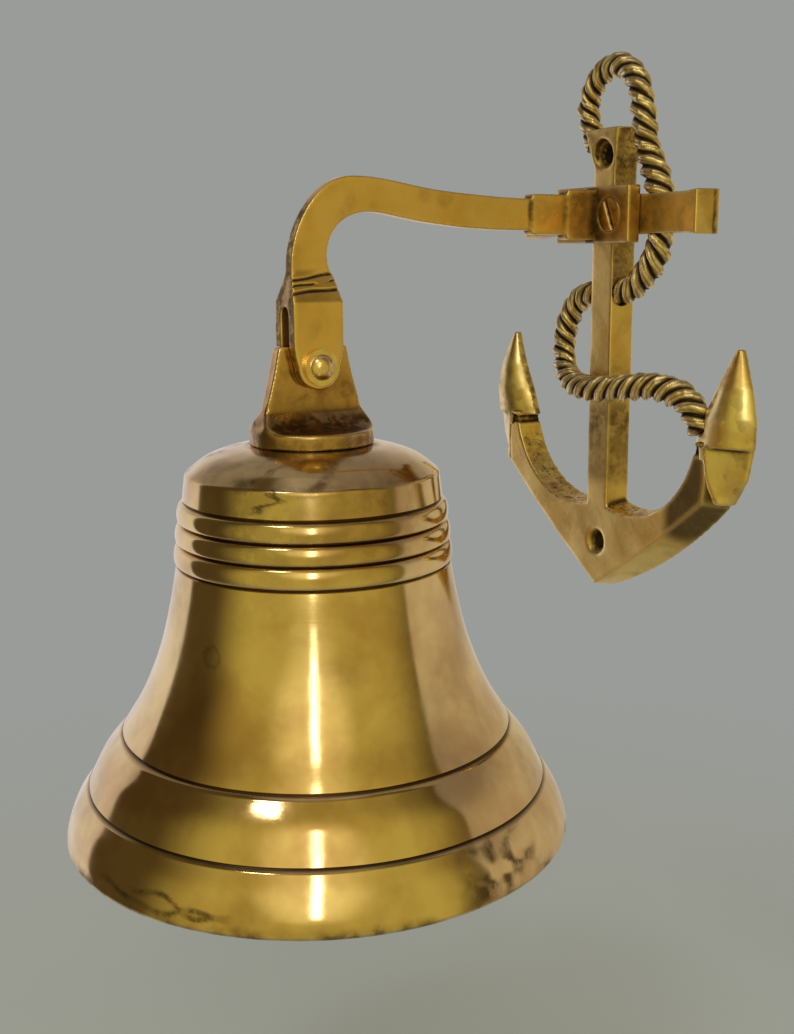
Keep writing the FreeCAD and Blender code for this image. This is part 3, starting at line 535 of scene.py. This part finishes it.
def make_arm():
    obj = recast("arm_casting", 0.34, 5)
    mesh = obj.data
    points = read_points(mesh)
    normals = read_normals(mesh)
    x, y, z = points.T
    near = step(normals[:, 0], 0.2, 0.6) * (y < -100)
    crease = np.zeros(len(points))
    for level, tilt, width in ((26.3, 0.13, 0.60), (24.5, 0.11, 0.50), (22.4, 0.07, 0.75)):
        line = level + tilt * (y + 115.6) + 0.14 * np.sin(y * 0.5 + level)
        crease = np.maximum(crease, step(np.abs(z - line), width, width * 0.3))
    crease *= near * step(cloud(points, 4.0, 63), -2.6, -1.6)
    gentle = cloud(points, 12.0, 61) * 0.03
    points = points + normals * (gentle - 0.42 * crease)[:, None]
    # The steps of the root are rubbed round.
    steps = np.minimum(np.abs(y + 25.7), np.abs(y + 39.1))
    points = relaxed(points, read_edges(mesh), 6, 0.5 * step(steps, 2.0, 0.8))
    write_points(mesh, points)
    smooth_faces(obj, 60.0)
    # The plate is dark round the screws, where polish never reached.
    plate = step(y, -19.0, -16.0) * step(np.hypot(np.abs(x) - 8.6, z - 44.4), 12.5, 6.0)
    weather(obj, 14, 0.12, 0.62 * plate)
    root = step(y, -40.0, -14.0)
    tarnish_and_shade = 0.8 * crease + 0.22 * step(cloud(points, 6.0, 62), 0.2, 1.6)
    # Painted shade in the corners at the root's two steps.
    tarnish_and_shade += 0.25 * step(np.abs(y + 26.4), 1.6, 0.5) + 0.7 * step(np.abs(y + 39.6), 1.4, 0.4)
    socket = step(y, -29.0, -24.0) * step(np.abs(x), 8.0, 6.0)
    tarnish_and_shade += 0.25 * root * step(np.abs(x), 5.0, 3.0) + 0.30 * socket
    tarnish_and_shade += 0.35 * step(y, -18.0, -15.5) * step(cloud(points, 5.0, 64), -1.8, 0.2)
    # Painted shade: the fork's forward-facing faces are made darker.
    tarnish_and_shade += 0.9 * step(-normals[:, 1], 0.4, 0.7) * step(y, -112.0, -118.0)
    slot = step(np.abs(x), 2.9, 2.5) * step(z, 20.0, 18.5)
    tarnish_and_shade += 0.6 * slot
    add_value(obj, "tarnish_and_shade", tarnish_and_shade)
    finish_piece(obj, "bracket", "arm_brass", ARM, "arm_casting")


def rope_route():
    """The rope's centre line through the same points as the CAD bar."""
    top, back, front = 71.5, -4.45, -13.3
    points = [
        (-10.4, back, top - 5.0), (-15.0, -4.6, top + 4.0), (-13.4, -4.6, top + 14.5),
        (-1.6, -4.6, top + 21.4), (9.8, -4.6, top + 15.4), (13.0, -4.6, top + 4.5),
        (14.2, back, top - 6.0), (20.6, back, 55.0), (23.6, back, 43.0), (21.0, back, 30.0),
        (10.0, back, 20.4), (-4.0, back, 19.6), (-16.4, -4.6, 18.8), (-23.4, -5.2, 9.0),
        (-22.8, -6.8, -2.4), (-14.0, front + 2.4, -10.0), (0.0, front - 0.4, -11.8),
        (13.0, front + 1.2, -10.4), (25.4, -9.4, -8.6), (36.4, -7.6, -9.8), (43.6, -6.4, -15.0),
        (46.4, -5.8, -21.6),
    ]
    points = [np.array(p) for p in points]
    middles = [(a + b) / 2 for a, b in zip(points, points[1:])]
    line = [points[0]]
    for before, corner, after in zip([points[0]] + middles[1:-1], points[1:-1], middles[1:-1] + [points[-1]]):
        for i in range(1, 41):
            t = i / 40
            line.append((1 - t) ** 2 * before + 2 * t * (1 - t) * corner + t * t * after)
    line = np.array(line)
    along = np.concatenate([[0.0], np.cumsum(np.linalg.norm(np.diff(line, axis=0), axis=1))])
    even = np.arange(0.0, along[-1], 0.34)
    return np.stack([np.interp(even, along, line[:, axis]) for axis in range(3)], axis=1), even


def make_rope():
    """Three strands laid left-handed, each with finer yarns, as one closed surface."""
    line, along = rope_route()
    around = 120
    pitch = 15.0
    tangent = np.gradient(line, axis=0)
    tangent /= np.linalg.norm(tangent, axis=1)[:, None]
    side = np.empty_like(line)
    side[0] = np.cross(tangent[0], [0.0, 1.0, 0.0])
    side[0] /= np.linalg.norm(side[0])
    for i in range(1, len(line)):
        flat = side[i - 1] - tangent[i] * (side[i - 1] @ tangent[i])
        side[i] = flat / np.linalg.norm(flat)
    other = np.cross(tangent, side)
    angle = np.arange(around) * 2 * math.pi / around
    turn = angle[None, :] + 2 * math.pi * along[:, None] / pitch
    third = 2 * math.pi / 3
    local = (turn + third / 2) % third - third / 2
    strand, offset = 2.34, 1.66
    radius = offset * np.cos(local) + np.sqrt(strand ** 2 - (offset * np.sin(local)) ** 2)
    rise = (radius - radius.min()) / (radius.max() - radius.min())
    drift = 0.9 * np.sin(turn * 0.37 + along[:, None] * 0.31) + 0.5 * np.sin(along[:, None] * 0.83)
    yarn = np.abs(np.sin(local * 4.5 + math.pi / 2 + drift))
    radius = radius - 0.46 * (1 - yarn) ** 1.5 * rise
    # The rope is slimmest in its top loop and thickest by the stock and at its free end.
    places = [0.0, 30.0, 62.0, 78.0, 112.0, 140.0, 170.0, 200.0, 225.0, 260.0]
    sizes = [0.96, 0.97, 1.03, 1.12, 1.14, 1.06, 1.02, 1.10, 1.18, 1.12]
    radius = radius * np.interp(along, places, sizes)[:, None]
    cosine, sine = np.cos(angle)[None, :, None], np.sin(angle)[None, :, None]
    points = line[:, None, :] + radius[:, :, None] * (side[:, None, :] * cosine + other[:, None, :] * sine)
    points = points.reshape(-1, 3)
    rough = cloud(points, 1.6, 71) * 0.09 + cloud(points, 4.5, 72) * 0.10
    centre = np.repeat(line, around, axis=0)
    away = points - centre
    points = points + away / np.linalg.norm(away, axis=1)[:, None] * rough[:, None]
    points[:, 1] = np.minimum(points[:, 1], -0.05)
    faces = ring_faces(len(line), around)
    faces.append(tuple(range(around))[::-1])
    faces.append(tuple(range((len(line) - 1) * around, len(line) * around)))
    obj = add_mesh("rope_strands", points, faces)
    smooth_faces(obj, 75.0)
    deep = (1 - rise).ravel()
    cut = ((1 - yarn) ** 1.5).ravel()
    add_value(obj, "hollow", step(deep, 0.22, 0.70) + 0.65 * step(cut, 0.25, 0.8))
    add_value(obj, "wear", step(rise.ravel() - cut, 0.60, 0.90) * step(cloud(points, 3.0, 73), -1.6, 0.4))
    add_value(obj, "tarnish_and_shade", 0.25 * step(cloud(points, 5.0, 74), 0.0, 1.5))
    finish_piece(obj, "bracket", "rope_brass", ROPE, "rope_casting")


def make_screw(name, x, level, tilt):
    """A countersunk head with a worn slot, standing for one screw of the pair."""
    front = -14.3
    head, shaft, end = 5.35, 3.0, -2.4
    outline = [
        (0.0, front + 0.02), (2.5, front + 0.02), (4.6, front + 0.1), (5.1, front + 0.25),
        (head, front + 0.6), (shaft, front + 2.8), (shaft, end), (0.0, end),
    ]
    around = 96
    angle = np.arange(around) * 2 * math.pi / around
    points = []
    for radius, y in outline[1:-1]:
        for a in angle:
            points.append((radius * math.cos(a), y, radius * math.sin(a)))
    faces = ring_faces(len(outline) - 2, around)
    faces.append(tuple(range(around))[::-1])
    faces.append(tuple(range((len(outline) - 3) * around, (len(outline) - 2) * around)))
    obj = add_mesh(name, points, faces)
    remeshed(obj, 0.2)
    mesh = obj.data
    points = read_points(mesh)
    c, s = math.cos(tilt), math.sin(tilt)
    across = points[:, 0] * c + points[:, 2] * s
    slot = step(np.abs(across), 0.80, 0.50) * (points[:, 1] < front + 1.0)
    points[:, 1] += 1.0 * slot
    points = relaxed(points, read_edges(mesh), 3)
    write_points(mesh, points + np.array([x, 0.0, level]))
    smooth_faces(obj, 60.0)
    weather(obj, 10, 0.10)
    add_value(obj, "tarnish_and_shade", 0.45 + 0.3 * cloud(points, 2.0, 81) + 0.5 * slot)
    return obj


def make_screws():
    right = make_screw("foot_screw_right", 8.6, 44.4, math.radians(24.0))
    left = make_screw("foot_screw_left", -8.6, 44.4, math.radians(-63.0))
    finish_piece(right, "bracket", "hardware_brass", SCREW, "foot_screws")
    finish_piece(left, "bracket", "hardware_brass", SCREW)


def repaint(node, material):
    """A CAD node that keeps its shape gets a finished material."""
    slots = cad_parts[node].material_slots
    for index in range(len(slots)):
        slots[index].material = material


# ---------------------------------------------------------------- studio

def make_floor():
    """A plain pale floor that fades into the backdrop's grey."""
    bpy.ops.mesh.primitive_circle_add(vertices=96, radius=3.0, fill_type="NGON", location=(0.0, -0.1, -0.30))
    floor = bpy.context.object
    floor.name = "floor"
    material = bpy.data.materials.new("floor_paint")
    material.use_nodes = True
    tree = material.node_tree
    tree.nodes.clear()
    coord = tree.nodes.new("ShaderNodeTexCoord")
    length = tree.nodes.new("ShaderNodeVectorMath")
    length.operation = "LENGTH"
    fade = tree.nodes.new("ShaderNodeMapRange")
    fade.interpolation_type = "SMOOTHSTEP"
    fade.inputs["From Min"].default_value = 0.0
    fade.inputs["From Max"].default_value = 0.65
    paint = tree.nodes.new("ShaderNodeBsdfDiffuse")
    paint.inputs["Color"].default_value = (0.78, 0.89, 1.0, 1.0)
    clear = tree.nodes.new("ShaderNodeBsdfTransparent")
    mix = tree.nodes.new("ShaderNodeMixShader")
    output = tree.nodes.new("ShaderNodeOutputMaterial")
    tree.links.new(coord.outputs["Object"], length.inputs[0])
    tree.links.new(length.outputs["Value"], fade.inputs["Value"])
    tree.links.new(fade.outputs["Result"], mix.inputs["Fac"])
    tree.links.new(paint.outputs[0], mix.inputs[1])
    tree.links.new(clear.outputs[0], mix.inputs[2])
    tree.links.new(mix.outputs[0], output.inputs["Surface"])
    floor.data.materials.append(material)


def make_world():
    """Grey backdrop; the metal reflects a dim warm room with a glow in front, and a pale wall behind."""
    world = bpy.data.worlds.new("studio")
    bpy.context.scene.world = world
    world.use_nodes = True
    tree = world.node_tree
    tree.nodes.clear()

    def node(kind, **inputs):
        made = tree.nodes.new(kind)
        for name, value in inputs.items():
            made.inputs[name].default_value = value
        return made

    direction = node("ShaderNodeTexCoord").outputs["Generated"]

    def along(vector):
        """How far the ray points along a direction, from -1 to 1."""
        dot = tree.nodes.new("ShaderNodeVectorMath")
        dot.operation = "DOT_PRODUCT"
        dot.inputs[1].default_value = vector
        tree.links.new(direction, dot.inputs[0])
        return dot.outputs["Value"]

    def ramp(value, low, high):
        made = tree.nodes.new("ShaderNodeMapRange")
        made.interpolation_type = "SMOOTHSTEP"
        made.inputs["From Min"].default_value = low
        made.inputs["From Max"].default_value = high
        tree.links.new(value, made.inputs["Value"])
        return made.outputs["Result"]

    def mix(factor, a, b):
        made = tree.nodes.new("ShaderNodeMix")
        made.data_type = "RGBA"
        tree.links.new(factor, made.inputs[0])
        for socket, colour in ((made.inputs[6], a), (made.inputs[7], b)):
            if isinstance(colour, bpy.types.NodeSocket):
                tree.links.new(colour, socket)
            else:
                socket.default_value = (*colour, 1.0)
        return made.outputs[2]

    behind = math.radians(163.5)
    wall_side = TOWARDS * math.cos(behind) + RIGHT * math.sin(behind)
    lean = math.radians(4.0)
    room_side = TOWARDS * math.cos(lean) + RIGHT * math.sin(lean)
    room = mix(ramp(along(tuple(room_side)), 0.08, 0.68), (0.085, 0.060, 0.024), (0.50, 0.43, 0.135))
    rise = math.radians(27.0)
    glow_side = TOWARDS * math.cos(rise) + np.array([0.0, 0.0, math.sin(rise)])
    room = mix(ramp(along(tuple(glow_side)), 0.88, 0.99), room, (0.93, 0.83, 0.42))
    room = mix(ramp(along((0.0, 0.0, 1.0)), 0.93, 0.985), room, (0.40, 0.37, 0.36))
    wall = mix(ramp(along(tuple(RIGHT)), -0.5, 0.6), (0.74, 0.71, 0.75), (0.55, 0.49, 0.38))
    wall = mix(ramp(along((0.0, 0.0, 1.0)), 0.10, 0.65), wall, (0.28, 0.25, 0.23))
    scene_light = mix(ramp(along(tuple(wall_side)), 0.095, 0.130), room, wall)

    light = node("ShaderNodeBackground", Strength=1.0)
    tree.links.new(scene_light, light.inputs["Color"])
    backdrop = node("ShaderNodeBackground", Color=(0.323, 0.332, 0.319, 1.0), Strength=1.0)
    path = node("ShaderNodeLightPath")
    choose = node("ShaderNodeMixShader")
    output = node("ShaderNodeOutputWorld")
    tree.links.new(path.outputs["Is Camera Ray"], choose.inputs["Fac"])
    tree.links.new(light.outputs[0], choose.inputs[1])
    tree.links.new(backdrop.outputs[0], choose.inputs[2])
    tree.links.new(choose.outputs[0], output.inputs["Surface"])


def add_light(name, side, elevation, distance, size, power, colour):
    """A soft box aimed at the bell; side is in degrees to the right of the front."""
    a, e = math.radians(side), math.radians(elevation)
    level = TOWARDS * math.cos(a) + RIGHT * math.sin(a)
    target = Vector((0.0, AXIS_Y * MM, -0.07))
    place = target + Vector(level) * distance * math.cos(e) + Vector((0, 0, distance * math.sin(e)))
    data = bpy.data.lights.new(name, "AREA")
    data.shape = "RECTANGLE"
    data.size, data.size_y = size
    data.energy = power
    data.color = colour
    obj = link(bpy.data.objects.new(name, data))
    obj.location = place
    obj.rotation_euler = (place - target).to_track_quat("Z", "Y").to_euler()
    obj.visible_camera = False


def make_camera():
    data = bpy.data.cameras.new("camera")
    data.sensor_width = 36.0
    data.lens = 44.28
    data.clip_start = 0.01
    camera = link(bpy.data.objects.new("camera", data))
    pitch, roll = math.radians(11.56), math.radians(-0.38)
    turn = Matrix.Rotation(YAW, 4, "Z")
    turn = turn @ Matrix.Rotation(math.pi / 2 - pitch, 4, "X") @ Matrix.Rotation(roll, 4, "Z")
    camera.matrix_world = Matrix.Translation((0.3331, -0.2783, 0.0317)) @ turn
    bpy.context.scene.camera = camera


make_camera()
make_bell()
make_lug()
make_anchor()
make_stock()
make_palm("palm_right")
make_palm("palm_left")
make_arm()
make_rope()
make_screws()
for name in ("pivot_bolt", "pivot_washers", "pivot_nut", "crown_washer", "eye_nut", "clapper_link"):
    repaint(name, HARDWARE)
repaint("clapper", CLAPPER)
make_floor()
make_world()
add_light("window", 2.0, 23.0, 1.4, (0.09, 0.78), 1.35, (1.0, 0.97, 0.90))
add_light("lamp", -34.0, 54.0, 1.3, (0.24, 0.16), 1.3, (1.0, 0.97, 0.92))
bpy.context.scene.view_settings.view_transform = "Standard"
